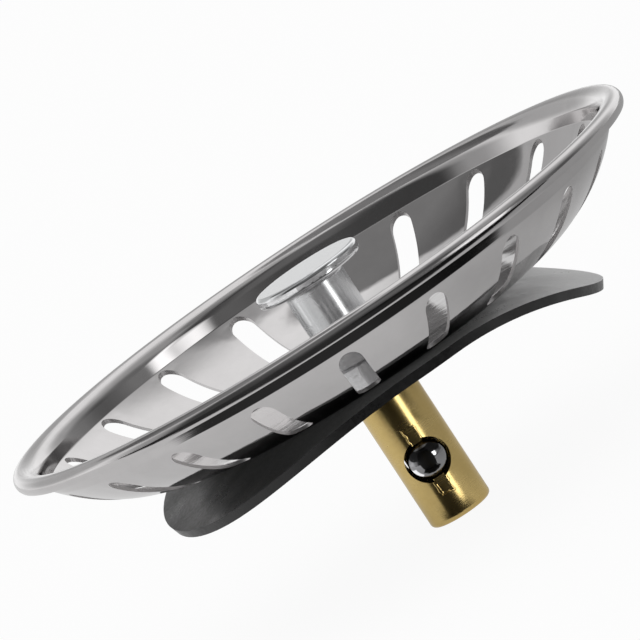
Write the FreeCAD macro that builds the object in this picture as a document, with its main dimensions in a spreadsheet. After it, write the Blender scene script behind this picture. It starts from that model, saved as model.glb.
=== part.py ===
"""Basket strainer plug for a sink waste: slotted bowl, knob, rubber seal and a stem with a ball catch.

Millimetres. The origin is the centre of the stem's end face, +Z runs up the stem to the knob,
and the ball looks along -Y.
"""
import FreeCAD
import Part
import math
import os

import Sketcher

doc = FreeCAD.newDocument("basket_strainer")
sheet = doc.addObject("Spreadsheet::Sheet", "Sizes")

SIZES = {
    # catch stem: turned brass with a threaded spigot on top
    "stem_d": 7.9,
    "stem_len": 19.1,
    "stem_round": 0.6,
    "spigot_d": 5.0,
    "spigot_len": 8.4,
    "spigot_chamfer": 0.4,
    # blind cross bore with the ball, and the two staked dents that keep the ball in
    "bore_d": 5.4,
    "bore_past_axis": 3.0,
    "ball_z": 7.7,
    "ball_d": 4.76,
    "ball_out": 1.0,
    "dent_w": 1.4,
    "dent_h": 1.7,
    "dent_deep": 0.25,
    "lip_t": 0.25,
    "lip_clear": 0.05,
    # coil spring behind the ball
    "wire_d": 0.5,
    "coil_d": 3.5,
    "coil_turns": 4.0,
    "spring_clear": 0.04,
    # clamped stack above the stem's shoulder
    "washer_d": 14.0,
    "washer_t": 0.65,
    "hole_d": 5.3,
    "seal_d": 58.7,
    "seal_t": 1.15,
    "seal_flat": 7.2,
    "near_wing_turn": 204.0,
    "near_sag_r": 60.0,
    "near_sag_turn": 19.0,
    "far_wing_turn": 6.0,
    "far_sag_r": 33.0,
    "far_sag_turn": 31.0,
    # stamped bowl with a curled rim
    "metal_t": 0.4,
    "rim_d": 82.5,
    "basket_h": 10.9,
    "bowl_reach": 19.25,
    "neck_h": 3.15,
    "bend_r": 0.35,
    "neck_slope": 80.0,
    "crown_r": 2.2,
    "curl_r": 1.1,
    "curl_turn": 130.0,
    "slot_count": 20,
    "slot_w": 2.95,
    "slot_from_rim": 3.65,
    "slot_len": 9.9,
    # turned knob
    "knob_d": 13.5,
    "knob_h": 12.15,
    "disc_t": 1.45,
    "disc_round": 0.5,
    "post_d": 7.6,
    "post_fillet": 0.7,
    "post_chamfer": 0.2,
    "thread_gap": 0.02,
    "tap_depth": 7.0,
}
for row, (alias, number) in enumerate(SIZES.items(), start=1):
    sheet.set(f"A{row}", alias)
    sheet.set(f"B{row}", str(number))
    sheet.setAlias(f"B{row}", alias)
doc.recompute()

# heights of the stack, as expressions in the sheet's aliases
S = "Sizes."
WASHER_Z = f"{S}stem_len"
SEAL_Z = f"({S}stem_len + {S}washer_t)"
BASKET_Z = f"({S}stem_len + {S}washer_t + {S}seal_t)"
KNOB_Z = f"({S}stem_len + {S}washer_t + {S}seal_t + {S}metal_t)"
BALL_BACK = f"({S}stem_d / 2 + {S}ball_out - {S}ball_d / 2)"

# how far the seal's uncut sheet runs out from the axis, past the disc's edge
SHEET_REACH = f"(0.6 * {S}seal_d)"

# depth of a drilled hole's pointed end, as a share of the drill's radius
DRILL_POINT = 0.6

# radii of the bowl, counted in from its rim
FLAT_R = f"({S}rim_d / 2 - {S}bowl_reach)"
SLOT_OUT_R = f"({S}rim_d / 2 - {S}slot_from_rim)"
SLOT_IN_R = f"({S}rim_d / 2 - {S}slot_from_rim - {S}slot_len)"


def value(expression):
    """The number that an expression in the sheet's aliases gives."""
    found = sheet.evalExpression(expression)
    return float(getattr(found, "Value", found))


def new_body(label):
    body = doc.addObject("PartDesign::Body", label)
    body.Label = label
    return body


def origin_part(body, role):
    return next(part for part in body.Origin.OriginFeatures if part.Role == role)


def new_sketch(body, plane, name):
    """An empty sketch on one of the body's own planes: XY_Plane, XZ_Plane or YZ_Plane."""
    sketch = body.newObject("Sketcher::SketchObject", name)
    sketch.AttachmentSupport = [(origin_part(body, plane), "")]
    sketch.MapMode = "FlatFace"
    return sketch


def bind(sketch, constraint, name, expression):
    """Add a dimension to a sketch and drive it from the sheet."""
    index = sketch.addConstraint(constraint)
    sketch.renameConstraint(index, name)
    sketch.setExpression(f"Constraints.{name}", expression)


def pin_point(sketch, line, end, name, x, y):
    """Hold a line's end at expressions x and y, where None means on that axis."""
    for axis, kind, expression in ((-2, "DistanceX", x), (-1, "DistanceY", y)):
        if expression is None:
            sketch.addConstraint(Sketcher.Constraint("PointOnObject", line, end, axis))
            continue
        number = value(expression)
        bind(sketch, Sketcher.Constraint(kind, -1, 1, line, end, number), f"{name}_{kind}", expression)


def polygon(sketch, corners):
    """A closed outline whose corners are (name, x expression, y expression)."""
    spots = [
        FreeCAD.Vector(value(x) if x else 0, value(y) if y else 0, 0)
        for _, x, y in corners
    ]
    lines = []
    for start, end in zip(spots, spots[1:] + spots[:1]):
        lines.append(sketch.addGeometry(Part.LineSegment(start, end), False))
    for line, following in zip(lines, lines[1:] + lines[:1]):
        sketch.addConstraint(Sketcher.Constraint("Coincident", line, 2, following, 1))
    for line, (name, x, y) in zip(lines, corners):
        pin_point(sketch, line, 1, name, x, y)


def circle(sketch, name, diameter, y=None):
    """A circle of the given diameter on the sketch's Y axis, at its origin unless y is given."""
    centre = FreeCAD.Vector(0, value(y) if y else 0, 0)
    normal = FreeCAD.Vector(0, 0, 1)
    ring = sketch.addGeometry(Part.Circle(centre, normal, value(diameter) / 2), False)
    pin_point(sketch, ring, 3, name, None, y)
    bind(sketch, Sketcher.Constraint("Diameter", ring, value(diameter)), f"{name}_d", diameter)


def revolve(body, sketch, name):
    turned = body.newObject("PartDesign::Revolution", name)
    turned.Profile = sketch
    turned.ReferenceAxis = (sketch, ["V_Axis"])
    turned.Angle = 360
    return turned


def pad(body, sketch, name, length, both_ways=False):
    grown = body.newObject("PartDesign::Pad", name)
    grown.Profile = sketch
    grown.SideType = "Symmetric" if both_ways else "One side"
    grown.setExpression("Length", length)
    return grown


def pocket_through(body, sketch, name):
    """Cut the sketch right through the body, both ways from its plane."""
    cut = body.newObject("PartDesign::Pocket", name)
    cut.Profile = sketch
    cut.Type = "ThroughAll"
    cut.SideType = "Symmetric"
    return cut


def round_edges(body, base, name, radius, wanted):
    """Fillet the round edges of the base feature for which wanted(radius, height) is true."""
    doc.recompute()
    names = [
        f"Edge{number}"
        for number, edge in enumerate(base.Shape.Edges, start=1)
        if isinstance(edge.Curve, Part.Circle) and wanted(edge.Curve.Radius, edge.Curve.Center.z)
    ]
    fillet = body.newObject("PartDesign::Fillet", name)
    fillet.Base = (base, names)
    fillet.setExpression("Radius", radius)
    return fillet


def near(one, other):
    return abs(one - other) < 1e-4


def make_stem():
    body = new_body("catch_stem")
    outline = new_sketch(body, "XZ_Plane", "stem_outline")
    stem_r = f"{S}stem_d / 2"
    spigot_r = f"{S}spigot_d / 2"
    spigot_top = f"({S}stem_len + {S}spigot_len)"
    polygon(outline, [
        ("foot_centre", None, None),
        ("foot_edge", stem_r, None),
        ("shoulder_edge", stem_r, f"{S}stem_len"),
        ("spigot_root", spigot_r, f"{S}stem_len"),
        ("spigot_side", spigot_r, f"{spigot_top} - {S}spigot_chamfer"),
        ("spigot_end", f"{spigot_r} - {S}spigot_chamfer", spigot_top),
        ("spigot_centre", None, spigot_top),
    ])
    turned = revolve(body, outline, "stem_turned")
    round_edges(
        body, turned, "stem_end_round", f"{S}stem_round",
        lambda radius, height: near(radius, value(stem_r)) and near(height, 0),
    )
    doc.recompute()
    bore = new_sketch(body, "XZ_Plane", "bore_circle")
    circle(bore, "bore", f"{S}bore_d", f"{S}ball_z")
    bored = body.newObject("PartDesign::Pocket", "cross_bore")
    bored.Profile = bore
    bored.SideType = "Two sides"
    bored.setExpression("Length", f"{S}bore_past_axis")
    bored.setExpression("Length2", f"{S}stem_d")
    doc.recompute()
    add_staking(body)
    return body


def add_staking(body):
    """Two punched dents on the bore's rim, each with a lip pushed over the ball."""
    half_w = f"{S}dent_w / 2"
    dent_floor = f"({S}stem_d / 2 - {S}dent_deep)"
    lip_back = f"({dent_floor} - {S}lip_t)"
    # the lip stops just clear of the ball's own circle at the depth of the lip's back face
    lip_reach = f"(sqrt(({S}ball_d / 2)^2 - ({lip_back} - {BALL_BACK})^2) + {S}lip_clear)"
    for name, side in (("upper", "+"), ("lower", "-")):
        far_edge = f"{S}ball_z {side} ({S}bore_d / 2 + {S}dent_h)"
        lip_edge = f"{S}ball_z {side} {lip_reach}"
        lip_root = f"{S}ball_z {side} ({S}bore_d / 2 + {S}dent_h / 2)"
        dent = side_block_sketch(body, f"{name}_dent_outline", half_w, lip_edge, far_edge)
        cut = body.newObject("PartDesign::Pocket", f"{name}_dent")
        cut.Profile = dent
        cut.Reversed = True
        cut.setExpression("Length", f"{S}stem_d")
        dent.setExpression("AttachmentOffset.Base.z", dent_floor)
        doc.recompute()
        lip = side_block_sketch(body, f"{name}_lip_outline", half_w, lip_edge, lip_root)
        lip.setExpression("AttachmentOffset.Base.z", lip_back)
        pad(body, lip, f"{name}_lip", f"{S}lip_t")
        doc.recompute()


def side_block_sketch(body, name, half_w, low, high):
    """A rectangle on the XZ plane, centred on the stem's axis and spanning two heights."""
    sketch = new_sketch(body, "XZ_Plane", name)
    left, right = -value(half_w), value(half_w)
    bottom, top = value(low), value(high)
    spots = [(left, bottom), (right, bottom), (right, top), (left, top)]
    vectors = [FreeCAD.Vector(x, y, 0) for x, y in spots]
    for start, end in zip(vectors, vectors[1:] + vectors[:1]):
        sketch.addGeometry(Part.LineSegment(start, end), False)
    for line in range(4):
        sketch.addConstraint(Sketcher.Constraint("Coincident", line, 2, (line + 1) % 4, 1))
    for line, direction in ((1, "Vertical"), (2, "Horizontal"), (3, "Vertical")):
        sketch.addConstraint(Sketcher.Constraint(direction, line))
    sketch.addConstraint(Sketcher.Constraint("Symmetric", 0, 1, 0, 2, -2))
    bind(sketch, Sketcher.Constraint("DistanceX", 0, 1, 0, 2, right - left), "wide", f"2 * {half_w}")
    bind(sketch, Sketcher.Constraint("DistanceY", -1, 1, 0, 1, bottom), "low", low)
    bind(sketch, Sketcher.Constraint("DistanceY", -1, 1, 2, 1, top), "high", high)
    return sketch


def make_ball():
    ball = doc.addObject("Part::Sphere", "catch_ball")
    ball.Label = "catch_ball"
    ball.setExpression("Radius", f"{S}ball_d / 2")
    ball.setExpression("Placement.Base.y", f"-{BALL_BACK}")
    ball.setExpression("Placement.Base.z", f"{S}ball_z")
    return ball


def make_spring():
    """An open coil along Y between the ball's back and the bore's floor."""
    body = new_body("catch_spring")
    section = new_sketch(body, "XY_Plane", "wire_section")
    coil_r = f"{S}coil_d / 2"
    reach = f"({S}ball_d / 2 + {S}wire_d / 2 + {S}spring_clear)"
    first_y = f"(sqrt({reach}^2 - ({coil_r})^2) - {BALL_BACK})"
    last_y = f"({S}bore_past_axis - {S}wire_d / 2 - {S}spring_clear)"
    centre = FreeCAD.Vector(value(coil_r), 0, 0)
    wire = Part.Circle(centre, FreeCAD.Vector(0, 0, 1), value(f"{S}wire_d") / 2)
    ring = section.addGeometry(wire, False)
    pin_point(section, ring, 3, "wire", coil_r, None)
    bind(section, Sketcher.Constraint("Diameter", ring, value(f"{S}wire_d")), "wire_d", f"{S}wire_d")
    doc.recompute()
    coil = body.newObject("PartDesign::AdditiveHelix", "coil")
    coil.Profile = section
    coil.ReferenceAxis = (section, ["V_Axis"])
    coil.Mode = "height-turns-growth"
    coil.setExpression("Height", f"{last_y} - {first_y}")
    coil.setExpression("Turns", f"{S}coil_turns")
    body.setExpression("Placement.Base.y", first_y)
    body.setExpression("Placement.Base.z", f"{S}ball_z")
    return body


def make_washer():
    body = new_body("seal_washer")
    rings = new_sketch(body, "XY_Plane", "washer_rings")
    circle(rings, "washer", f"{S}washer_d")
    circle(rings, "washer_hole", f"{S}hole_d")
    pad(body, rings, "washer_plate", f"{S}washer_t")
    body.setExpression("Placement.Base.z", WASHER_Z)
    return body


def make_seal():
    """A disc that was cut flat: its hub is flat still, and two wings sag away from it, each its own way."""
    body = new_body("rubber_seal")
    hub = new_sketch(body, "XY_Plane", "hub_outline")
    polygon(hub, [hub_corner("far", 1), hub_corner("near", -1), hub_corner("near", 1), hub_corner("far", -1)])
    pad(body, hub, "hub_sheet", f"{S}seal_t")
    trim = new_sketch(body, "XY_Plane", "hub_trim")
    circle(trim, "disc", f"{S}seal_d")
    circle(trim, "waste", f"4 * {SHEET_REACH}")
    pocket_through(body, trim, "hub_edge")
    doc.recompute()
    for wing in ("far", "near"):
        section = wing_sketch(body, wing, "section")
        draw_wing(section, wing)
        pad(body, section, f"{wing}_wing", f"2 * {SHEET_REACH}", both_ways=True)
        doc.recompute()
        trim_wing(body, wing)
    hole = new_sketch(body, "XY_Plane", "hub_hole")
    circle(hole, "hub", f"{S}hole_d")
    pocket_through(body, hole, "hub_bore")
    body.setExpression("Placement.Base.z", SEAL_Z)
    return body


def hub_corner(wing, side):
    """A corner of the hub's outline: on the line where the wing begins to bend, well outside the disc."""
    turn = f"{S}{wing}_wing_turn"
    along = f"{side} * {SHEET_REACH}"
    x = f"{S}seal_flat * cos({turn}) - {along} * sin({turn})"
    y = f"{S}seal_flat * sin({turn}) + {along} * cos({turn})"
    return f"{wing}_{'left' if side > 0 else 'right'}", x, y


def wing_sketch(body, wing, name):
    """An empty upright sketch along the wing, with its X axis out from the stem."""
    sketch = new_sketch(body, "XZ_Plane", f"{wing}_wing_{name}")
    upright = FreeCAD.Vector(0, 1, 0)
    turn = FreeCAD.Rotation(upright, value(f"{S}{wing}_wing_turn"))
    sketch.AttachmentOffset = FreeCAD.Placement(FreeCAD.Vector(), turn)
    sketch.setExpression("AttachmentOffset.Rotation.Angle", f"{S}{wing}_wing_turn")
    return sketch


def trim_wing(body, wing):
    """Cut the wing's edge round and square to its sloping end, starting where the hub's edge stops."""
    radius = f"{S}{wing}_sag_r"
    turn = f"{S}{wing}_sag_turn"
    unrolled = f"({S}seal_flat + {radius} * {turn} * pi / 180)"
    edge_start = f"({unrolled} - {radius} * sin({turn}))"
    edge_r = f"sqrt(({S}seal_d / 2)^2 - {S}seal_flat^2 + {edge_start}^2)"

    def tilted(name, out, up):
        """A point given by its place along the slope and square to it, from the unrolled disc's centre."""
        along = f"({out} - {unrolled})"
        x = f"{S}seal_flat + {radius} * sin({turn}) + {along} * cos({turn}) + {up} * sin({turn})"
        y = f"{S}seal_t - {radius} + {radius} * cos({turn}) - {along} * sin({turn}) + {up} * cos({turn})"
        return name, x, y

    waste = wing_sketch(body, wing, "waste")
    polygon(waste, [
        tilted("low_in", edge_r, f"(0 - {SHEET_REACH})"),
        tilted("low_out", f"(2 * {SHEET_REACH})", f"(0 - {SHEET_REACH})"),
        tilted("high_out", f"(2 * {SHEET_REACH})", SHEET_REACH),
        tilted("high_in", edge_r, SHEET_REACH),
    ])
    axis_ends = [tilted("axis_low", "0", "0"), tilted("axis_high", "0", f"{S}seal_t")]
    spots = [FreeCAD.Vector(value(x), value(y), 0) for _, x, y in axis_ends]
    axis = waste.addGeometry(Part.LineSegment(*spots), True)
    for end, (name, x, y) in zip((1, 2), axis_ends):
        pin_point(waste, axis, end, name, x, y)
    doc.recompute()
    edge = body.newObject("PartDesign::Groove", f"{wing}_wing_edge")
    edge.Profile = waste
    edge.ReferenceAxis = (waste, ["Axis0"])
    edge.Angle = 180
    edge.Midplane = True
    doc.recompute()


def draw_wing(sketch, wing):
    """A wing's section: from the hub's edge an arc, then straight on, with the same thickness all along."""
    thick = value(f"{S}seal_t")
    hub = value(f"{S}seal_flat")
    beyond = value(SHEET_REACH)
    radius = value(f"{S}{wing}_sag_r")
    turn = math.radians(value(f"{S}{wing}_sag_turn"))
    centre = FreeCAD.Vector(hub, thick - radius, 0)
    outward = FreeCAD.Vector(math.sin(turn), math.cos(turn), 0)
    slope = FreeCAD.Vector(math.cos(turn), -math.sin(turn), 0)
    root = sketch.addGeometry(Part.LineSegment(
        FreeCAD.Vector(hub, 0, 0), FreeCAD.Vector(hub, thick, 0)), False)
    arcs, ends = [], []
    for face_r, root_end in ((radius, 2), (radius - thick, 1)):
        ring = Part.Circle(centre, FreeCAD.Vector(0, 0, 1), face_r)
        arc = sketch.addGeometry(Part.ArcOfCircle(ring, math.pi / 2 - turn, math.pi / 2), False)
        bend_end = centre + outward * face_r
        tip = bend_end + slope * ((beyond - bend_end.x) / slope.x)
        end = sketch.addGeometry(Part.LineSegment(bend_end, tip), False)
        sketch.addConstraint(Sketcher.Constraint("Coincident", arc, 2, root, root_end))
        sketch.addConstraint(Sketcher.Constraint("Tangent", arc, 1, end, 1))
        arcs.append(arc)
        ends.append(end)
    closing = sketch.addGeometry(Part.LineSegment(*(sketch.getPoint(end, 2) for end in ends)), False)
    for closing_end, end in zip((1, 2), ends):
        sketch.addConstraint(Sketcher.Constraint("Coincident", closing, closing_end, end, 2))
    pin_point(sketch, root, 1, "root", f"{S}seal_flat", None)
    sketch.addConstraint(Sketcher.Constraint("Vertical", root))
    bind(sketch, Sketcher.Constraint("DistanceY", root, 1, root, 2, thick), "thick", f"{S}seal_t")
    sketch.addConstraint(Sketcher.Constraint("Coincident", arcs[0], 3, arcs[1], 3))
    sketch.addConstraint(Sketcher.Constraint("Vertical", arcs[0], 3, root, 1))
    sketch.addConstraint(Sketcher.Constraint("Parallel", ends[0], ends[1]))
    sketch.addConstraint(Sketcher.Constraint("Vertical", closing))
    bind(sketch, Sketcher.Constraint("Radius", arcs[0], radius), "sag_r", f"{S}{wing}_sag_r")
    bind(sketch, Sketcher.Constraint("Angle", ends[0], -turn), "sag_turn", f"-{S}{wing}_sag_turn * 1 deg")
    bind(sketch, Sketcher.Constraint("DistanceX", -1, 1, closing, 1, beyond), "reach", SHEET_REACH)


def make_basket():
    body = new_body("strainer_basket")
    section = new_sketch(body, "XZ_Plane", "bowl_section")
    draw_bowl_section(section)
    revolve(body, section, "bowl_spun")
    doc.recompute()
    slot = new_sketch(body, "XY_Plane", "slot_outline")
    draw_slot(slot)
    first = pocket_through(body, slot, "first_slot")
    doc.recompute()
    ring = body.newObject("PartDesign::PolarPattern", "slot_ring")
    ring.Originals = [first]
    ring.Axis = (origin_part(body, "Z_Axis"), [""])
    ring.Angle = 360
    ring.setExpression("Occurrences", f"{S}slot_count")
    body.Tip = ring
    body.setExpression("Placement.Base.z", BASKET_Z)
    return body


def draw_slot(sketch):
    """A round-ended slot on the -Y side, along the radius."""
    half = value(f"{S}slot_w") / 2
    inner = -(value(SLOT_IN_R) + half)
    outer = -(value(SLOT_OUT_R) - half)
    up = FreeCAD.Vector(0, 0, 1)
    left = sketch.addGeometry(Part.LineSegment(
        FreeCAD.Vector(-half, inner, 0), FreeCAD.Vector(-half, outer, 0)), False)
    right = sketch.addGeometry(Part.LineSegment(
        FreeCAD.Vector(half, outer, 0), FreeCAD.Vector(half, inner, 0)), False)
    far_end = sketch.addGeometry(Part.ArcOfCircle(
        Part.Circle(FreeCAD.Vector(0, outer, 0), up, half), math.pi, 2 * math.pi), False)
    near_end = sketch.addGeometry(Part.ArcOfCircle(
        Part.Circle(FreeCAD.Vector(0, inner, 0), up, half), 0, math.pi), False)
    sketch.addConstraint(Sketcher.Constraint("Tangent", left, 2, far_end, 1))
    sketch.addConstraint(Sketcher.Constraint("Tangent", far_end, 2, right, 1))
    sketch.addConstraint(Sketcher.Constraint("Tangent", right, 2, near_end, 1))
    sketch.addConstraint(Sketcher.Constraint("Tangent", near_end, 2, left, 1))
    for arc in (far_end, near_end):
        sketch.addConstraint(Sketcher.Constraint("PointOnObject", arc, 3, -2))
    bind(sketch, Sketcher.Constraint("Radius", far_end, half), "half_width", f"{S}slot_w / 2")
    bind(sketch, Sketcher.Constraint("DistanceY", far_end, 3, -1, 1, -outer),
         "outer_centre", f"{SLOT_OUT_R} - {S}slot_w / 2")
    bind(sketch, Sketcher.Constraint("DistanceY", near_end, 3, -1, 1, -inner),
         "inner_centre", f"{SLOT_IN_R} + {S}slot_w / 2")


def bowl_start(slope):
    """The bowl's inner radius, how far its arc turns, and the corner where it would meet the neck unrounded."""
    rim_r = value(f"{S}rim_d") / 2
    thick = value(f"{S}metal_t")
    crown_r = value(f"{S}crown_r")
    bend_r = value(f"{S}bend_r")
    crown = FreeCAD.Vector(rim_r - value(f"{S}curl_r"), value(f"{S}basket_h") - crown_r, 0)
    inward = FreeCAD.Vector(-math.sin(slope), math.cos(slope), 0)
    neck_top = crown + inward * crown_r
    corner_y = value(f"{S}basket_h") - value(f"{S}neck_h")
    corner = FreeCAD.Vector(neck_top.x - (neck_top.y - corner_y) / math.tan(slope), corner_y, 0)
    reach = corner.x - value(FLAT_R)
    outer_r = (reach**2 + corner_y**2 - thick**2) / (2 * (corner_y - thick))
    bowl = FreeCAD.Vector(value(FLAT_R), outer_r, 0)
    across = ((bowl - neck_top).dot(inward) - bend_r) / (outer_r - thick - bend_r)
    return outer_r - thick, slope - math.acos(across), corner


def draw_bowl_section(sketch):
    """The stamped sheet's section: inner and outer faces with the same bends, closed at both ends."""
    slope = math.radians(value(f"{S}neck_slope"))
    bowl_r, turn, corner = bowl_start(slope)
    curl = math.radians(value(f"{S}curl_turn"))
    thick = value(f"{S}metal_t")
    hole = value(f"{S}hole_d") / 2
    bend_r, crown_r, curl_r = (value(S + name) for name in ("bend_r", "crown_r", "curl_r"))
    bowl = FreeCAD.Vector(value(FLAT_R), bowl_r + thick, 0)
    bend = bowl + FreeCAD.Vector(math.sin(turn), -math.cos(turn), 0) * (bowl_r - bend_r)
    tip = FreeCAD.Vector(value(f"{S}rim_d") / 2 - curl_r, value(f"{S}basket_h") - curl_r, 0)
    crown = tip - FreeCAD.Vector(0, crown_r - curl_r, 0)
    low, high = -math.pi / 2, math.pi / 2
    faces = {}
    for face, inset in (("inner", 0.0), ("outer", thick)):
        rise = thick - inset
        arcs = (
            ("bowl", bowl, bowl_r + inset, low, low + turn),
            ("bend", bend, bend_r + inset, low + turn, low + slope),
            ("crown", crown, crown_r - inset, high, high + slope),
            ("curl", tip, curl_r - inset, high - curl, high),
        )
        parts = {"flat": sketch.addGeometry(Part.LineSegment(
            FreeCAD.Vector(hole, rise, 0), FreeCAD.Vector(bowl.x, rise, 0)), False)}
        for name, centre, radius, start, stop in arcs:
            ring = Part.Circle(centre, FreeCAD.Vector(0, 0, 1), radius)
            parts[name] = sketch.addGeometry(Part.ArcOfCircle(ring, start, stop), False)
        parts["neck"] = sketch.addGeometry(Part.LineSegment(
            sketch.getPoint(parts["bend"], 2), sketch.getPoint(parts["crown"], 2)), False)
        join_bowl_section(sketch, face, parts)
        bind(sketch, Sketcher.Constraint("Angle", parts["neck"], slope), f"{face}_neck_slope",
             f"{S}neck_slope * 1 deg")
        faces[face] = parts
    place_bowl_section(sketch, faces, corner)
    close_bowl_section(sketch, faces, hole, curl)


def join_bowl_section(sketch, face, parts):
    """Make one face of the sheet run smoothly from bend to bend, and give the three small bends their radii."""
    for one, one_end, other, other_end in (
        ("flat", 2, "bowl", 1), ("bowl", 2, "bend", 1), ("bend", 2, "neck", 1),
        ("neck", 2, "crown", 2), ("crown", 1, "curl", 2),
    ):
        sketch.addConstraint(Sketcher.Constraint("Tangent", parts[one], one_end, parts[other], other_end))
    sketch.addConstraint(Sketcher.Constraint("Horizontal", parts["flat"]))
    sketch.addConstraint(Sketcher.Constraint("Vertical", parts["crown"], 3, parts["curl"], 3))
    for name, outer_change in (("bend", "+"), ("crown", "-"), ("curl", "-")):
        change = f" {outer_change} {S}metal_t" if face == "outer" else ""
        radius = f"{S}{name}_r{change}"
        bind(sketch, Sketcher.Constraint("Radius", parts[name], value(radius)), f"{face}_{name}_r", radius)


def place_bowl_section(sketch, faces, corner):
    """Hold the section by its rim, its flat bottom and the corner under the neck."""
    inner, outer = faces["inner"], faces["outer"]
    for name in ("bowl", "curl"):
        sketch.addConstraint(Sketcher.Constraint("Coincident", inner[name], 3, outer[name], 3))
    sketch.addConstraint(Sketcher.Constraint("PointOnObject", outer["flat"], 1, -1))
    crease = sketch.addGeometry(Part.Point(corner), True)
    sketch.addConstraint(Sketcher.Constraint("PointOnObject", crease, 1, inner["bowl"]))
    sketch.addConstraint(Sketcher.Constraint("PointOnObject", crease, 1, inner["neck"]))
    for name, kind, place, expression in (
        ("crease_y", "DistanceY", (crease, 1), f"{S}basket_h - {S}neck_h"),
        ("flat_end", "DistanceX", (inner["bowl"], 3), FLAT_R),
        ("curl_x", "DistanceX", (inner["curl"], 3), f"{S}rim_d / 2 - {S}curl_r"),
        ("curl_y", "DistanceY", (inner["curl"], 3), f"{S}basket_h - {S}curl_r"),
    ):
        bind(sketch, Sketcher.Constraint(kind, -1, 1, *place, value(expression)), name, expression)


def close_bowl_section(sketch, faces, hole, curl):
    """Close the section at the centre hole and at the curl's cut edge."""
    inner, outer = faces["inner"], faces["outer"]
    hole_wall, cut_edge = (
        sketch.addGeometry(Part.LineSegment(
            sketch.getPoint(outer[end], 1), sketch.getPoint(inner[end], 1)), False)
        for end in ("flat", "curl")
    )
    for line, end in ((hole_wall, "flat"), (cut_edge, "curl")):
        sketch.addConstraint(Sketcher.Constraint("Coincident", line, 1, outer[end], 1))
        sketch.addConstraint(Sketcher.Constraint("Coincident", line, 2, inner[end], 1))
    sketch.addConstraint(Sketcher.Constraint("Vertical", hole_wall))
    bind(sketch, Sketcher.Constraint("DistanceY", hole_wall, 1, hole_wall, 2, value(f"{S}metal_t")),
         "sheet_t", f"{S}metal_t")
    bind(sketch, Sketcher.Constraint("DistanceX", -1, 1, outer["flat"], 1, hole), "hole_r", f"{S}hole_d / 2")
    sketch.addConstraint(Sketcher.Constraint("PointOnObject", inner["curl"], 3, cut_edge))
    bind(sketch, Sketcher.Constraint("Angle", cut_edge, math.pi / 2 - curl), "curl_end",
         f"90 deg - {S}curl_turn * 1 deg")


def make_knob():
    body = new_body("lift_knob")
    outline = new_sketch(body, "XZ_Plane", "knob_outline")
    bore_r = f"({S}spigot_d / 2 + {S}thread_gap)"
    post_r = f"{S}post_d / 2"
    disc_r = f"{S}knob_d / 2"
    under = f"({S}knob_h - {S}disc_t)"
    polygon(outline, [
        ("bore_mouth", bore_r, None),
        ("post_foot", f"{post_r} - {S}post_chamfer", None),
        ("post_side", post_r, f"{S}post_chamfer"),
        ("post_top", post_r, under),
        ("disc_under", disc_r, under),
        ("disc_top", disc_r, f"{S}knob_h"),
        ("top_centre", None, f"{S}knob_h"),
        ("bore_point", None, f"{S}tap_depth + {bore_r} * {DRILL_POINT}"),
        ("bore_end", bore_r, f"{S}tap_depth"),
    ])
    turned = revolve(body, outline, "knob_turned")
    rim = round_edges(
        body, turned, "disc_rim_round", f"{S}disc_round",
        lambda radius, height: near(radius, value(disc_r)),
    )
    round_edges(
        body, rim, "post_root_round", f"{S}post_fillet",
        lambda radius, height: near(radius, value(post_r)) and near(height, value(under)),
    )
    body.setExpression("Placement.Base.z", KNOB_Z)
    return body


def check_everything():
    """Stop if any object has failed or any sub-part's shape isn't a good solid."""
    for item in doc.Objects:
        if "Invalid" in item.State or "Error" in item.State:
            raise RuntimeError(f"{item.Label} is {item.State}")
    for part in parts:
        if part.Shape.isNull() or not part.Shape.isValid() or len(part.Shape.Solids) != 1:
            raise RuntimeError(f"{part.Label} has no single valid solid")


parts = [
    make_basket(),
    make_knob(),
    make_seal(),
    make_washer(),
    make_stem(),
    make_ball(),
    make_spring(),
]
doc.recompute()
check_everything()
os.makedirs("parts", exist_ok=True)
for part in parts:
    part.Shape.exportStep(f"parts/{part.Label}.step")
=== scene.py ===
"""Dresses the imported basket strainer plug: materials, a finer bowl, the coil spring, camera and studio."""

import math

import bmesh
import bpy
from mathutils import Matrix, Vector


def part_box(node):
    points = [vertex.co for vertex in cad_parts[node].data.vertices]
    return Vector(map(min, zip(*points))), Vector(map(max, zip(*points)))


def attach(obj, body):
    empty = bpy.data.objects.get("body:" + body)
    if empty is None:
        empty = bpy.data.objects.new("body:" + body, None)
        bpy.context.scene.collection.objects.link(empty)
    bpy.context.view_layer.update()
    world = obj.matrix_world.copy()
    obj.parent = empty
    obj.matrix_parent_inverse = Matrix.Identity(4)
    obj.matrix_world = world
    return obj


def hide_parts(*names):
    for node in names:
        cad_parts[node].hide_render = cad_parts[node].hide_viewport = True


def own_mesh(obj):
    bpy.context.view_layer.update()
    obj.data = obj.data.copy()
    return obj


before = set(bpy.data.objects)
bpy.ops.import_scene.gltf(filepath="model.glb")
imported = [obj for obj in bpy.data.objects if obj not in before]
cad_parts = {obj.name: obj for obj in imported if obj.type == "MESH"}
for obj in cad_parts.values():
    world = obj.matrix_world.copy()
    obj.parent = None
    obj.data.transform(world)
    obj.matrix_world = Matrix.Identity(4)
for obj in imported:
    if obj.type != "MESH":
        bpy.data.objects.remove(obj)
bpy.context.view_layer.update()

MM = 0.001
WHITE = (1, 1, 1, 1)

# the stamped bowl's sizes in millimetres, as its solid has them
SHEET = 0.4
HOLE_RADIUS = 2.65
BOWL_REACH = 19.25
NECK_HEIGHT = 3.15
NECK_SLOPE = math.radians(80)
BEND_RADIUS = 0.35
CROWN_RADIUS = 2.2
CURL_RADIUS = 1.1
CURL_TURN = math.radians(130)
SLOTS = 20
SLOT_WIDTH = 2.95
SLOT_FROM_RIM = 3.65
SLOT_LENGTH = 9.9
NEAR_SIDE = math.radians(-90)
HALF_SECTOR = math.pi / SLOTS

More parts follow.
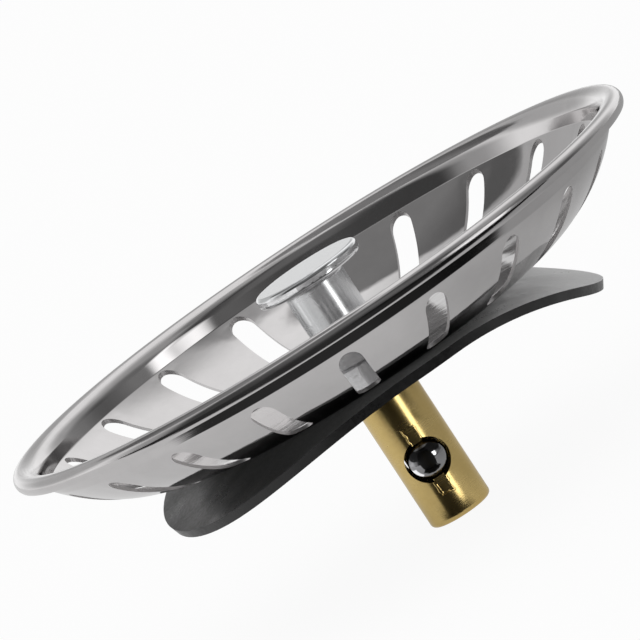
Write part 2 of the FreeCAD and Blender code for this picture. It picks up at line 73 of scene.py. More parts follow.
# the bowl's mesh: the wall's slope where the slotted band starts, the steps along each stretch of the
# section and across a sector, where a sector's loops lie between its slot's edge (0) and its border (1),
# and the distance in metres below which points are joined
BAND_START = math.radians(12)
FLAT_STEPS = 5
FLOOR_STEPS = 6
BEND_STEPS = 4
CROWN_STEPS = 16
CURL_STEPS = 30
SECTOR_STEPS = 14
LOOP_SHARES = (0, 0.1, 0.25, 0.45, 0.7, 1)
SAME_POINT = 0.0001 * MM

# the coil's wire in metres, its turns, the share of them closed at each end, and its mesh's steps and sides
WIRE_RADIUS = 0.25 * MM
COIL_TURNS = 5
CLOSED_SHARE = 0.11
COIL_STEPS = 240
WIRE_SIDES = 10

# the ball's height and the outline of the dents above and below it, counted from the ball, in millimetres
BALL_HEIGHT = 7.7
DENT_SIDE = 0.75
DENT_END = 4.45

# where a finish starts or ends, as the first and last millimetre of the change: distances from the axis,
# but a height for the disc's underside and a place along X for the right wing
PUNCH_RIPPLES_START = (33.0, 37.5)
PUNCH_RIPPLES_END = (37.0, 38.0)
SLOT_EDGES_END = (37.65, 37.75)
RIM_STREAKS_START = (37.9, 38.6)
DISC_UNDERSIDE = (31.7, 32.1)
SEAL_CUT_EDGE = (28.35, 28.55)
# the right wing's place along X, where its upward faces get a painted sheen
PAINTED_SHEEN_WING = (9, 22)

# the floor: half its side in metres, and the first and last millimetre along Y where its front turns into
# the part's surroundings
FLOOR_HALF = 3.0
FLOOR_FRONT = (-60, -46)

# the floor's white: its share of what the camera sees, its share of what mirrors see and its light there,
# each in front and around the part, and two steps of that light along X: first and last millimetre, from, to
FLOOR_CAMERA_SHARE = 0.93
FLOOR_MIRROR_SHARES = (1.0, 0.6)
FLOOR_MIRROR_LIGHT = (0.03, 0.72)
FLOOR_STEP_RIGHT = (5, 30, 1.0, 0.62)
FLOOR_STEP_FAR_RIGHT = (35, 60, 1.0, 0.4)

# the light of the room on everything that is not a mirror
ROOM_LIGHT = 0.8

# soft-edged discs that only mirrors see in the room, in degrees: azimuth, elevation, inner and outer angle,
# and the share of light left; they are dark flags, but the last, with a share above 1, is a softbox
FLAGS = (
    (180, 0, 58, 74, 0.15),
    (180, -10, 10, 40, 0.35),
    (-70, 66, 26, 30, 0.24),
    (-45, 32, 15, 38, 0.5),
    (-125, 15, 20, 45, 0.4),
    (102, 34, 12, 48, 0.39),
    (135, 65, 14, 22, 0.5),
    (97, 12, 12, 30, 0.45),
    (75, -3, 12, 29, 0.51),
    (59, 10, 9, 30, 0.45),
    (0, 24, 8, 22, 0.45),
    (124, 14, 6, 17, 14.0),
)

# lamps that light one node each, in metres, degrees and watts: name, azimuth, elevation, distance from a
# point on the axis, that point's height, the lamp's width and height, its power and the node
LAMPS = (
    ("ball_strip", 128, 12, 0.9, 0.009, 0.25, 0.4, 1.4, "catch_ball"),
    ("stem_strip", 158, 0, 0.0098, 0.009, 0.0022, 0.016, 0.0003, "catch_stem"),
    ("post_strip", 145, 0, 0.018, 0.027, 0.003, 0.008, 0.00018, "lift_knob"),
    ("post_panel", 245, 0, 0.02, 0.027, 0.03, 0.008, 0.0003, "lift_knob"),
    ("ball_panel", 272, -30, 0.008, 0.0077, 0.007, 0.005, 0.0002, "catch_ball"),
)


class Graph:
    """Short calls that build the nodes of one material or of the world."""

    def __init__(self, tree):
        self.tree = tree

    def add(self, kind, inputs=None, **settings):
        node = self.tree.nodes.new(kind)
        for name, setting in settings.items():
            setattr(node, name, setting)
        for socket, given in (inputs or {}).items():
            self.feed(node.inputs[socket], given)
        return node

    def feed(self, socket, given):
        """Links another node's output to the socket, or sets a plain value on it."""
        if isinstance(given, bpy.types.NodeSocket):
            self.tree.links.new(given, socket)
        else:
            socket.default_value = given

    def math(self, operation, one, other=0.0):
        return self.add("ShaderNodeMath", {0: one, 1: other}, operation=operation).outputs[0]

    def total(self, *given):
        result = given[0]
        for other in given[1:]:
            result = self.math("ADD", result, other)
        return result

    def product(self, *given):
        result = given[0]
        for other in given[1:]:
            result = self.math("MULTIPLY", result, other)
        return result

    def fade(self, given, low, high, to_low=0.0, to_high=1.0):
        """Brings given from low .. high to to_low .. to_high, with soft ends."""
        inputs = {"Value": given, "From Min": low, "From Max": high, "To Min": to_low, "To Max": to_high}
        return self.add("ShaderNodeMapRange", inputs, interpolation_type="SMOOTHSTEP").outputs["Result"]

    def colours(self, share, first, second):
        """Mixes two colours. The node's colour sockets go by number, because their names repeat."""
        node = self.add("ShaderNodeMix", {"Factor": share}, data_type="RGBA")
        for socket, colour in ((6, first), (7, second)):
            self.feed(node.inputs[socket], (*colour, 1) if isinstance(colour, tuple) else colour)
        return node.outputs[2]

    def place(self):
        """The point's place on the part in millimetres."""
        metres = self.add("ShaderNodeTexCoord").outputs["Object"]
        return self.add("ShaderNodeVectorMath", {0: metres, "Scale": 1 / MM}, operation="SCALE").outputs[0]

    def split(self, vector):
        """A vector's three numbers, by the names X, Y and Z."""
        return self.add("ShaderNodeSeparateXYZ", {0: vector}).outputs

    def stretch(self, *axes):
        """A place for noise, made of up to three numbers, each with its own scale."""
        scaled = [self.product(given, scale) for given, scale in axes]
        return self.add("ShaderNodeCombineXYZ", dict(enumerate(scaled))).outputs[0]

    def polar(self, place):
        """Distance from the stem's axis, angle around it in radians, and height."""
        spot = self.split(place)
        across = self.product(spot["X"], spot["X"])
        along = self.product(spot["Y"], spot["Y"])
        radius = self.math("SQRT", self.total(across, along))
        return radius, self.math("ARCTAN2", spot["Y"], spot["X"]), spot["Z"]

    def upward(self):
        """How far the surface looks up: 1 straight up, 0 sideways, -1 straight down."""
        return self.split(self.add("ShaderNodeNewGeometry").outputs["Normal"])["Z"]

    def noise(self, place, scale=1.0, detail=3.0, distortion=0.0):
        inputs = {"Vector": place, "Scale": scale, "Detail": detail, "Distortion": distortion}
        return self.add("ShaderNodeTexNoise", inputs).outputs["Fac"]

    def scratches(self, place, scale, width):
        """Thin wandering lines, 1 on a line and 0 off it."""
        level = self.math("SUBTRACT", self.noise(place, scale, detail=1.5), 0.5)
        return self.fade(self.math("ABSOLUTE", level), 0, width, 1, 0)

    def bump(self, height, depth, under=None):
        """The normal of a relief, depth millimetres high where height is 1, laid over another normal."""
        inputs = {"Height": height, "Strength": 1.0, "Distance": depth * MM}
        if under is not None:
            inputs["Normal"] = under
        return self.add("ShaderNodeBump", inputs).outputs["Normal"]

    def coat(self, colour, roughness, normal):
        """Feeds a material's Principled shader."""
        shader = self.tree.nodes["Principled BSDF"]
        self.feed(shader.inputs["Base Color"], colour)
        self.feed(shader.inputs["Roughness"], roughness)
        self.feed(shader.inputs["Normal"], normal)


def new_material(name, inputs=None):
    """A material with a Principled shader whose even values are set on its sockets."""
    material = bpy.data.materials.new(name)
    material.use_nodes = True
    shader = material.node_tree.nodes["Principled BSDF"]
    for socket, given in (inputs or {}).items():
        shader.inputs[socket].default_value = given
    return material, Graph(material.node_tree)


def polished_steel():
    """Mirror polished sheet: wiped smudges, ripples from the slot punches and streaks along the rim."""
    material, graph = new_material("polished_steel", {"Metallic": 1.0})
    place = graph.place()
    radius, angle, height = graph.polar(place)
    smudge = graph.noise(place, 0.11, detail=4, distortion=0.6)
    speckle = graph.noise(place, 0.6, detail=5)
    streak = graph.noise(graph.stretch((radius, 5.0), (angle, 2.5), (height, 5.0)))
    ripple = graph.noise(graph.stretch((radius, 0.35), (angle, 9.0), (height, 0.35)), detail=2)
    on_rim = graph.fade(radius, *RIM_STREAKS_START)
    slot_bearing = graph.fade(graph.math("COSINE", graph.product(angle, SLOTS)), -0.3, 1.0)
    by_slot = graph.product(slot_bearing, graph.fade(radius, *PUNCH_RIPPLES_START))
    upright = graph.fade(graph.math("ABSOLUTE", graph.upward()), 0.02, 0.1, 1, 0)
    slot_edge = graph.product(upright, graph.fade(radius, *SLOT_EDGES_END, 1, 0))
    paleness = graph.total(graph.product(smudge, 0.7), graph.product(speckle, 0.3), slot_edge)
    colour = graph.colours(paleness, (0.565, 0.552, 0.552), (0.745, 0.728, 0.728))
    roughness = graph.total(graph.fade(smudge, 0.4, 0.75, 0.05, 0.12),
                            graph.fade(speckle, 0.55, 0.8, 0.0, 0.06),
                            graph.product(on_rim, graph.fade(streak, 0.3, 0.7, 0.0, 0.1)),
                            graph.product(slot_edge, 0.3))
    dents = graph.product(ripple,
                          graph.fade(by_slot, 0.0, 1.0, 0.25, 1.0),
                          graph.fade(radius, *PUNCH_RIPPLES_END, 1, 0.1))
    pressed = graph.bump(dents, 0.09)
    graph.coat(colour, roughness, graph.bump(graph.product(streak, on_rim), 0.012, pressed))
    return material


def turned_aluminium():
    """Bright turned aluminium: rings on the disc, drawn lines and scuffs on the post."""
    material, graph = new_material("turned_aluminium", {"Metallic": 1.0})
    place = graph.place()
    radius, angle, height = graph.polar(place)
    rings = graph.noise(graph.stretch((radius, 4.0), (angle, 0.8), (height, 1.0)), detail=4)
    drawn = graph.noise(graph.stretch((angle, 9.0), (height, 0.12)), detail=4)
    below_disc = graph.fade(height, *DISC_UNDERSIDE, 1, 0)
    lines = graph.scratches(graph.stretch((angle, 2.5), (height, 0.25), (radius, 1.0)), 1.0, 0.02)
    patches = graph.fade(graph.noise(place, 0.3, detail=1), 0.5, 0.6)
    paleness = graph.total(graph.product(rings, 0.5), graph.product(drawn, 0.5))
    colour = graph.colours(paleness, (0.76, 0.77, 0.78), (0.92, 0.93, 0.94))
    roughness = graph.total(graph.fade(rings, 0.3, 0.7, 0.08, 0.15), graph.product(below_disc, 0.13))
    turned = graph.bump(rings, 0.003)
    pulled = graph.bump(graph.product(drawn, below_disc), 0.004, turned)
    graph.coat(colour, roughness, graph.bump(graph.product(lines, patches, below_disc), 0.008, pulled))
    return material


def dent_burr(graph, place, angle, height):
    """1 on a ragged line around the two dents that hold the ball, 0 off it."""
    ball_side = graph.fade(graph.math("SINE", angle), -0.93, -1.0)
    across = graph.math("ABSOLUTE", graph.split(place)["X"])
    along = graph.math("ABSOLUTE", graph.math("SUBTRACT", height, BALL_HEIGHT))
    past_side = graph.math("SUBTRACT", across, DENT_SIDE)
    past_end = graph.math("SUBTRACT", along, DENT_END)
    outline = graph.math("MAXIMUM", past_side, past_end)
    wobble = graph.fade(graph.noise(place, 1.1, detail=1), 0.3, 0.7, -0.12, 0.12)
    off_line = graph.math("ABSOLUTE", graph.total(outline, wobble))
    return graph.product(graph.fade(off_line, 0.03, 0.14, 1, 0), ball_side)


def satin_brass():
    """Turned satin brass: fine lathe lines, tarnish clouds, and a burr around the dents."""
    material, graph = new_material("satin_brass", {"Metallic": 1.0})
    place = graph.place()
    _, angle, height = graph.polar(place)
    cloud = graph.noise(place, 0.3, detail=4, distortion=0.4)
    lathe = graph.noise(graph.stretch((angle, 0.6), (height, 9.0)))
    grain = graph.noise(place, 3.5)
    paleness = graph.total(graph.product(cloud, 0.65), graph.product(grain, 0.35))
    colour = graph.colours(paleness, (0.62, 0.44, 0.15), (0.86, 0.66, 0.29))
    roughness = graph.total(graph.fade(cloud, 0.3, 0.7, 0.19, 0.27),
                            graph.fade(lathe, 0.3, 0.7, -0.02, 0.03))
    turned = graph.bump(lathe, 0.0025)
    rough = graph.bump(grain, 0.003, turned)
    graph.coat(colour, roughness, graph.bump(dent_burr(graph, place, angle, height), 0.04, rough))
    return material


def dusty_rubber():
    """Black moulded rubber: talc clouds, a fine grain, a paler cut edge, and a painted sheen, pale grey and
    mottled, on its right wing's upward faces.
    """
    material, graph = new_material("dusty_rubber", {"Sheen Weight": 0.5, "Sheen Roughness": 0.2})
    place = graph.place()
    radius, _, _ = graph.polar(place)
    cloud = graph.noise(place, 0.16, detail=2)
    grain = graph.noise(place, 2.6, detail=4)
    specks = graph.fade(graph.noise(place, 1.3, detail=2), 0.68, 0.78)
    cut_edge = graph.product(graph.fade(radius, *SEAL_CUT_EDGE), graph.fade(grain, 0.35, 0.6, 0.5, 1.0))
    talc = graph.total(graph.fade(cloud, 0.48, 0.85, 0.0, 0.4),
                       graph.product(specks, 0.15),
                       graph.product(cut_edge, 0.12))
    # painted sheen: the right wing's upward faces are coloured pale grey, mottled by the cloud and the grain
    painted_sheen = graph.product(graph.fade(graph.upward(), 0.5, 0.8),
                         graph.fade(graph.split(place)["X"], *PAINTED_SHEEN_WING),
                         graph.fade(cloud, 0.3, 0.7, 0.6, 1.0),
                         graph.fade(grain, 0.3, 0.6, 0.75, 1.0))
    rubber = graph.colours(talc, (0.006, 0.006, 0.006), (0.05, 0.05, 0.051))
    colour = graph.colours(painted_sheen, rubber, (0.6, 0.6, 0.6))
    roughness = graph.total(graph.fade(cloud, 0.3, 0.7, 0.28, 0.42),
                            graph.fade(grain, 0.3, 0.7, -0.04, 0.08))
    waved = graph.bump(graph.noise(place, 0.2, detail=1), 0.06)
    graph.coat(colour, roughness, graph.bump(grain, 0.005, waved))
    return material


def polished_ball():
    """Hardened steel ball: a mirror with faint wipe marks."""
    material, graph = new_material("polished_ball", {"Metallic": 1.0})
    place = graph.place()
    wipe = graph.noise(place, 0.5, detail=4, distortion=0.8)
    colour = graph.colours(wipe, (0.3, 0.3, 0.31), (0.42, 0.42, 0.43))
    roughness = graph.fade(wipe, 0.4, 0.75, 0.03, 0.1)
    graph.coat(colour, roughness, graph.bump(graph.scratches(place, 0.9, 0.02), 0.003))
    return material


def brushed_washer():
    """Plain steel washer with turning marks and a little staining."""
    material, graph = new_material("brushed_washer", {"Metallic": 1.0})
    place = graph.place()
    radius, angle, height = graph.polar(place)
    rings = graph.noise(graph.stretch((radius, 6.0), (angle, 0.7), (height, 1.0)))
    stain = graph.noise(place, 0.35, detail=4)
    colour = graph.colours(stain, (0.38, 0.38, 0.38), (0.66, 0.65, 0.63))
    roughness = graph.fade(rings, 0.3, 0.7, 0.24, 0.42)
    graph.coat(colour, roughness, graph.bump(rings, 0.03))
    return material


def drawn_wire():
    """Spring wire with drawing lines and a light oil film."""
    material, graph = new_material("drawn_wire", {"Metallic": 1.0})
    place = graph.place()
    oil = graph.noise(place, 1.2)
    lines = graph.noise(place, 7.0, detail=2)
    colour = graph.colours(oil, (0.3, 0.3, 0.3), (0.55, 0.54, 0.52))
    roughness = graph.fade(lines, 0.3, 0.7, 0.22, 0.4)
    graph.coat(colour, roughness, graph.bump(lines, 0.01))
    return material


def dress(node, material):
    """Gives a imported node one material."""
    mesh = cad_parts[node].data
    mesh.materials.clear()
    mesh.materials.append(material)


def put(name, data):
    """A new object in the scene."""
    thing = bpy.data.objects.new(name, data)
    bpy.context.scene.collection.objects.link(thing)
    return thing


def spread(first, last, steps):
    """Evenly spaced values from first to last."""
    return [first + (last - first) * step / steps for step in range(steps + 1)]


def coil_point(share, low, high):
    """A point on the wire's middle line; the pitch is nil over the closed share at each end."""
    coil_radius = (high.x - low.x) / 2 - WIRE_RADIUS
    centre = (low + high) / 2
    open_share = min(1.0, max(0.0, (share - CLOSED_SHARE) / (1 - 2 * CLOSED_SHARE)))
    rise = open_share * open_share * (3 - 2 * open_share)
    angle = share * COIL_TURNS * 2 * math.pi
    return Vector((centre.x + coil_radius * math.cos(angle),
                   low.y + WIRE_RADIUS + rise * (high.y - low.y - 2 * WIRE_RADIUS),
                   centre.z + coil_radius * math.sin(angle)))


def wire_ring(wire, at, centre):
    """The points around the wire at one place on its middle line."""
    outward = Vector((at.x - centre.x, 0, at.z - centre.z)).normalized()
    along = Vector((0, 1, 0))
    turns = [side * 2 * math.pi / WIRE_SIDES for side in range(WIRE_SIDES)]
    return [wire.verts.new(at + (outward * math.cos(turn) + along * math.sin(turn)) * WIRE_RADIUS)
            for turn in turns]


def coil_mesh(low, high):
    """The coil's wire in the box of the solid that it replaces."""
    centre = (low + high) / 2
    wire = bmesh.new()
    rings = [wire_ring(wire, coil_point(share, low, high), centre) for share in spread(0, 1, COIL_STEPS)]
    for one, other in zip(rings, rings[1:]):
        for side in range(WIRE_SIDES):
            following = (side + 1) % WIRE_SIDES
            wire.faces.new((one[side], one[following], other[following], other[side]))
    for end in (rings[0], rings[-1]):
        wire.faces.new(end)
    bmesh.ops.recalc_face_normals(wire, faces=wire.faces)
    mesh = bpy.data.meshes.new("spring_coil")
    wire.to_mesh(mesh)
    wire.free()
    mesh.shade_smooth()
    return mesh


def make_coil(material):
    """The wire spring behind the ball, as one fixed mesh in the box of the solid that it replaces; the real
    spring shortens as the ball goes in.
    """
    low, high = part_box("catch_spring")
    mesh = coil_mesh(low, high)
    mesh.materials.append(material)
    coil = put("spring_coil", mesh)
    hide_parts("catch_spring")
    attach(coil, "strainer")
    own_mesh(coil)


def arc(centre, radius, first, last, steps):
    """Stations (radius, height, slope) on an arc of the sheet's upper face; a negative radius bulges up."""
    return [(centre.x + radius * math.sin(slope), centre.y - radius * math.cos(slope), slope)
            for slope in spread(first, last, steps)]


class BowlSection:
    """The sheet's section from the centre hole to the curl's cut edge, known by its upper face."""

    def __init__(self, rim_radius, height):
        across = Vector((math.sin(NECK_SLOPE), -math.cos(NECK_SLOPE)))
        curl = Vector((rim_radius - CURL_RADIUS, height - CURL_RADIUS))
        crown = Vector((curl.x, height - CROWN_RADIUS))
        neck_top = crown - across * CROWN_RADIUS
        crease_z = height - NECK_HEIGHT
        crease_r = neck_top.x - (neck_top.y - crease_z) / math.tan(NECK_SLOPE)
        self.slot_out = rim_radius - SLOT_FROM_RIM
        self.flat = rim_radius - BOWL_REACH
        under_radius = ((crease_r - self.flat) ** 2 + crease_z**2 - SHEET**2) / (2 * (crease_z - SHEET))
        self.radius = under_radius - SHEET
        self.centre = Vector((self.flat, under_radius))
        bend_reach = self.radius - BEND_RADIUS
        leaning = (neck_top - self.centre).dot(across) - BEND_RADIUS
        self.turn = NECK_SLOPE - math.acos(leaning / bend_reach)
        bend = self.centre + Vector((math.sin(self.turn), -math.cos(self.turn))) * bend_reach
        self.floor = [(radius, SHEET, 0.0) for radius in spread(HOLE_RADIUS, self.flat, FLAT_STEPS)[:-1]]
        self.floor += arc(self.centre, self.radius, 0, BAND_START, FLOOR_STEPS)
        self.rim = arc(bend, BEND_RADIUS, self.turn, NECK_SLOPE, BEND_STEPS)
        self.rim += arc(crown, -CROWN_RADIUS, NECK_SLOPE, 0, CROWN_STEPS)
        self.rim += arc(curl, -CURL_RADIUS, 0, -CURL_TURN, CURL_STEPS)[1:]

    def wall_slope(self, radius, depth):
        """The bowl wall's slope at a distance from the axis, depth below the upper face."""
        return math.asin((radius - self.flat) / (self.radius + depth))


class BowlMesh:
    """Collects the bowl's faces; each point keeps the sheet's slope and whether it is on the upper face."""

    def __init__(self, section, base):
        self.section = section
        self.base = base
        self.maker = bmesh.new()
        self.slope = self.maker.verts.layers.float.new("slope")
        self.side = self.maker.verts.layers.int.new("side")
        self.wall = self.maker.faces.layers.int.new("wall")

    def spot(self, radius, bearing, height, slope, side):
        """A point of the mesh, from sizes in millimetres."""
        vertex = self.maker.verts.new((radius * math.cos(bearing) * MM,
                                       radius * math.sin(bearing) * MM,
                                       self.base + height * MM))
        vertex[self.slope] = slope
        vertex[self.side] = side
        return vertex

    def ring(self, station, side, bearings):
        """The points of one station all around, on the upper face or under it."""
        radius, height, slope = station
        depth = 0 if side > 0 else SHEET
        radius += depth * math.sin(slope)
        height -= depth * math.cos(slope)
        return [self.spot(radius, bearing, height, slope, side) for bearing in bearings]

    def join(self, one, other, wall=0):
        """Faces between two closed loops of as many points."""
        for index in range(len(one)):
            following = (index + 1) % len(one)
            face = self.maker.faces.new((one[index], one[following], other[following], other[index]))
            face[self.wall] = wall

    def spin(self, stations, bearings):
        """Both faces of the sheet all around, and its cut edge where the stations begin or end it."""
        sides = {side: [self.ring(station, side, bearings) for station in stations] for side in (1, -1)}
        for rings in sides.values():
            for one, other in zip(rings, rings[1:]):
                self.join(one, other)
        cut = 0 if stations is self.section.floor else -1
        self.join(sides[1][cut], sides[-1][cut], wall=1)

    def slotted_sector(self, middle):
        """One sector of the wall around its slot: loops from the slot's edge out to the sector's border."""
        slot = slot_loop(self.section, sector_border(self.section, 0))
        edges = []
        for side, depth in ((1, 0), (-1, SHEET)):
            border = sector_border(self.section, depth)
            loops = [[self.wall_spot(start.lerp(end, share), middle, side, depth)
                      for start, end in zip(slot, border)]
                     for share in LOOP_SHARES]
            for one, other in zip(loops, loops[1:]):
                self.join(one, other)
            edges.append(loops[0])
        self.join(*edges, wall=1)

    def wall_spot(self, plan, middle, side, depth):
        """A point of the wall under a place seen from above, in the sector with this middle bearing."""
        slope = self.section.wall_slope(plan.length, depth)
        height = self.section.centre.y - (self.section.radius + depth) * math.cos(slope)
        return self.spot(plan.length, middle + math.atan2(plan.y, plan.x), height, slope, side)

    def finished(self, name):
        """The mesh with the sheet's true normals on its faces and flat ones on its cut edges."""
        bmesh.ops.remove_doubles(self.maker, verts=self.maker.verts, dist=SAME_POINT)
        bmesh.ops.recalc_face_normals(self.maker, faces=self.maker.faces)
        for face in self.maker.faces:
            face.smooth = True
        mesh = bpy.data.meshes.new(name)
        self.maker.to_mesh(mesh)
        self.maker.free()
        kinds = ("slope", "side", "wall")
        slopes, sides, walls = (mesh.attributes[kind].data for kind in kinds)
        normals = [face.normal if walls[face.index].value
                   else sheet_normal(mesh.vertices[index].co, slopes[index].value, sides[index].value)
                   for face in mesh.polygons
                   for index in face.vertices]
        mesh.normals_split_custom_set(normals)
        for kind in kinds:
            mesh.attributes.remove(mesh.attributes[kind])
        return mesh


def sheet_normal(place, slope, side):
    """The normal of the sheet's upper face (side 1) or lower face (side -1) where it has this slope."""
    inward = -Vector((place.x, place.y, 0)).normalized() * math.sin(slope)
    upward = Vector((0, 0, math.cos(slope)))
    return (inward + upward) * side


def sector_border(section, depth):
    """A sector's border from above, with its middle along X: low edge, one side, high edge, other side."""
    radii = [section.flat + (section.radius + depth) * math.sin(slope)
             for slope in spread(BAND_START, section.turn, SECTOR_STEPS)]
    turns = [HALF_SECTOR * share for share in spread(-1, 1, SECTOR_STEPS)]
    polar = [(radii[0], turn) for turn in turns[:-1]]
    polar += [(radius, HALF_SECTOR) for radius in radii[:-1]]
    polar += [(radii[-1], turn) for turn in turns[:0:-1]]
    polar += [(radius, -HALF_SECTOR) for radius in radii[:0:-1]]
    return [Vector((radius * math.cos(turn), radius * math.sin(turn))) for radius, turn in polar]


def slot_loop(section, border):
    """The round-ended slot's edge seen from above, with one point for each point of the sector's border."""
    half = SLOT_WIDTH / 2
    low = section.slot_out - SLOT_LENGTH + half
    high = section.slot_out - half
    outer = [index for index, point in enumerate(border) if point.x > high]
    # the inner end lies around the list's start, so points of the list's second half count back from its end
    inner = [index if index < len(border) / 2 else index - len(border)
             for index, point in enumerate(border) if point.x < low]
    inner.sort(reverse=True)
    loop = [Vector((point.x, math.copysign(half, point.y))) for point in border]
    for ends, centre, facing in ((outer, high, 1), (inner, low, -1)):
        for order, index in enumerate(ends):
            turn = math.pi * ((order + 1) / (len(ends) + 1) - 0.5)
            loop[index] = Vector((centre + facing * half * math.cos(turn), -half * math.sin(turn)))
    return loop


def make_bowl(material):
    """The stamped bowl with its curled rim, fine enough that its mirror shows no flats."""
    low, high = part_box("strainer_basket")
    section = BowlSection(high.x / MM, (high.z - low.z) / MM)
    bowl_mesh = BowlMesh(section, low.z)
    around = SECTOR_STEPS * SLOTS
    bearings = [NEAR_SIDE - HALF_SECTOR + index * 2 * math.pi / around for index in range(around)]
    bowl_mesh.spin(section.floor, bearings)
    bowl_mesh.spin(section.rim, bearings)
    for slot in range(SLOTS):
        bowl_mesh.slotted_sector(NEAR_SIDE + 2 * HALF_SECTOR * slot)
    mesh = bowl_mesh.finished("mirror_bowl")
    mesh.materials.append(material)
    bowl = put("mirror_bowl", mesh)
    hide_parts("strainer_basket")
    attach(bowl, "strainer")


def add_camera():
    """A long lens a little above the rim's plane, rolled as the photograph is."""
    azimuth = math.radians(2.2)
    elevation = math.radians(7.67)
    roll = math.radians(33.2)
    distance = 832 * MM
    rim_centre = Vector((0, 0, 30.7)) * MM
    aim_right = -1.7 * MM
    aim_down = 3.2 * MM
    right = Vector((math.cos(azimuth), math.sin(azimuth), 0))
    towards = Vector((math.sin(azimuth) * math.cos(elevation),
                      -math.cos(azimuth) * math.cos(elevation),
                      math.sin(elevation)))
    up = towards.cross(right)
    aim = rim_centre + right * aim_right - up * aim_down
    image_right = right * math.cos(roll) - up * math.sin(roll)
    image_up = right * math.sin(roll) + up * math.cos(roll)
    data = bpy.data.cameras.new("camera")
    data.lens = 409.7
    data.sensor_width = 36
    data.clip_start = 0.01
    data.clip_end = 20
    camera = put("camera", data)
    turn = Matrix((image_right, image_up, towards)).transposed().to_4x4()
    camera.matrix_world = Matrix.Translation(aim + towards * distance) @ turn
    bpy.context.scene.camera = camera


def heading(azimuth, elevation):
    """A direction: azimuth 0 is behind the part, 90 to its right and 180 at the camera's side."""
    azimuth = math.radians(azimuth)
    elevation = math.radians(elevation)
    return Vector((math.sin(azimuth) * math.cos(elevation),
                   math.cos(azimuth) * math.cos(elevation),
                   math.sin(elevation)))


def seen_rays(graph, camera_share, mirror_share):
    """How much of the plain white a ray gets: camera rays, and rays off metal or through glass."""
    path = graph.add("ShaderNodeLightPath").outputs
    mirrored = graph.math("MAXIMUM", path["Is Glossy Ray"], path["Is Transmission Ray"])
    return graph.total(graph.product(path["Is Camera Ray"], camera_share),
                       graph.product(mirrored, mirror_share))


def add_floor():
    """A pale floor that keeps the part's shadow. Mirrors see it dark in front and dimmer to the right."""
    material, graph = new_material("floor_white")
    graph.tree.nodes.remove(graph.tree.nodes["Principled BSDF"])
    paper = graph.add("ShaderNodeBsdfDiffuse", {"Color": (0.85, 0.85, 0.85, 1)})
    spot = graph.split(graph.place())
    near_part = graph.fade(spot["Y"], *FLOOR_FRONT)
    mirrored = graph.product(graph.fade(near_part, 0, 1, *FLOOR_MIRROR_LIGHT),
                             graph.fade(spot["X"], *FLOOR_STEP_RIGHT),
                             graph.fade(spot["X"], *FLOOR_STEP_FAR_RIGHT))
    camera_ray = graph.add("ShaderNodeLightPath").outputs["Is Camera Ray"]
    shown = graph.math("MAXIMUM", mirrored, camera_ray)
    white = graph.add("ShaderNodeEmission", {"Color": WHITE, "Strength": shown})
    mirror_share = graph.fade(near_part, 0, 1, *FLOOR_MIRROR_SHARES)
    share = seen_rays(graph, FLOOR_CAMERA_SHARE, mirror_share)
    both = graph.add("ShaderNodeMixShader", {0: share, 1: paper.outputs[0], 2: white.outputs[0]})
    graph.feed(graph.tree.nodes["Material Output"].inputs["Surface"], both.outputs[0])
    mesh = bpy.data.meshes.new("floor")
    corners = [(x * FLOOR_HALF, y * FLOOR_HALF, 0) for x, y in ((-1, -1), (1, -1), (1, 1), (-1, 1))]
    mesh.from_pydata(corners, [], [(0, 1, 2, 3)])
    mesh.materials.append(material)
    floor = put("floor", mesh)


def add_card():
    """A black card with a foot, in front of the stem, for the brass's dark stripe. Only mirrors see it."""
    left = -8 * MM
    right = 5.5 * MM
    ahead = -10 * MM
    toe = -5 * MM
    lift = 0.02 * MM
    top = 19 * MM
    mesh = bpy.data.meshes.new("stem_card")
    corners = [(left, toe, lift), (right, toe, lift), (right, ahead, lift), (left, ahead, lift),
               (right, ahead, top), (left, ahead, top)]
    mesh.from_pydata(corners, [], [(0, 1, 2, 3), (3, 2, 4, 5)])
    material, _ = new_material("card_black", {"Base Color": (0.02, 0.02, 0.02, 1)})
    mesh.materials.append(material)
    card = put("stem_card", mesh)
    card.visible_camera = False
    card.visible_diffuse = False
    card.visible_shadow = False


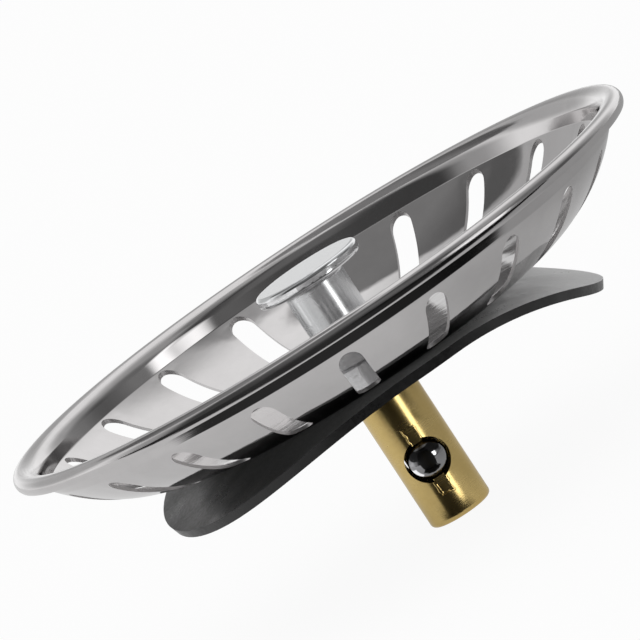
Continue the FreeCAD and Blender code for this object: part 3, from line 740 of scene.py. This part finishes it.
def flag_light(graph, direction, azimuth, elevation, inner, outer, keep):
    """The share of light that one flag leaves in a direction."""
    inputs = {0: direction, 1: heading(azimuth, elevation)}
    nearness = graph.add("ShaderNodeVectorMath", inputs, operation="DOT_PRODUCT").outputs["Value"]
    return graph.fade(nearness, math.cos(math.radians(outer)), math.cos(math.radians(inner)), 1.0, keep)


def add_world():
    """An even white room; mirrors also see the dark flags that a studio sets around polished metal."""
    world = bpy.data.worlds.new("studio")
    bpy.context.scene.world = world
    world.use_nodes = True
    graph = Graph(world.node_tree)
    direction = graph.add("ShaderNodeTexCoord").outputs["Generated"]
    camera_ray = graph.add("ShaderNodeLightPath").outputs["Is Camera Ray"]
    left = graph.product(*(flag_light(graph, direction, *flag) for flag in FLAGS))
    shown = graph.math("MAXIMUM", left, camera_ray)
    room = graph.tree.nodes["Background"]
    room.inputs["Color"].default_value = WHITE
    room.inputs["Strength"].default_value = ROOM_LIGHT
    backdrop = graph.add("ShaderNodeBackground", {"Color": WHITE, "Strength": shown})
    share = seen_rays(graph, 1.0, 1.0)
    both = graph.add("ShaderNodeMixShader", {0: share, 1: room.outputs[0], 2: backdrop.outputs[0]})
    graph.feed(graph.tree.nodes["World Output"].inputs["Surface"], both.outputs[0])


def add_lamps():
    """The soft lamps, each linked to its node and hidden from the camera."""
    for name, azimuth, elevation, distance, aim, width, height, watts, node in LAMPS:
        data = bpy.data.lights.new(name, "AREA")
        data.shape = "RECTANGLE"
        data.size = width
        data.size_y = height
        data.energy = watts
        lamp = put(name, data)
        away = heading(azimuth, elevation)
        lamp.location = Vector((0, 0, aim)) + away * distance
        lamp.rotation_euler = away.to_track_quat("Z", "Y").to_euler()
        lamp.visible_camera = False
        receivers = bpy.data.collections.new(f"{name}_lights")
        receivers.objects.link(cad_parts[node])
        lamp.light_linking.receiver_collection = receivers


add_camera()
add_floor()
add_card()
add_world()
add_lamps()
bowl_material = polished_steel()
dress("strainer_basket", bowl_material)
make_bowl(bowl_material)
dress("lift_knob", turned_aluminium())
dress("rubber_seal", dusty_rubber())
dress("seal_washer", brushed_washer())
dress("catch_stem", satin_brass())
dress("catch_ball", polished_ball())
wire_material = drawn_wire()
dress("catch_spring", wire_material)
make_coil(wire_material)
bpy.context.scene.view_settings.view_transform = "Standard"
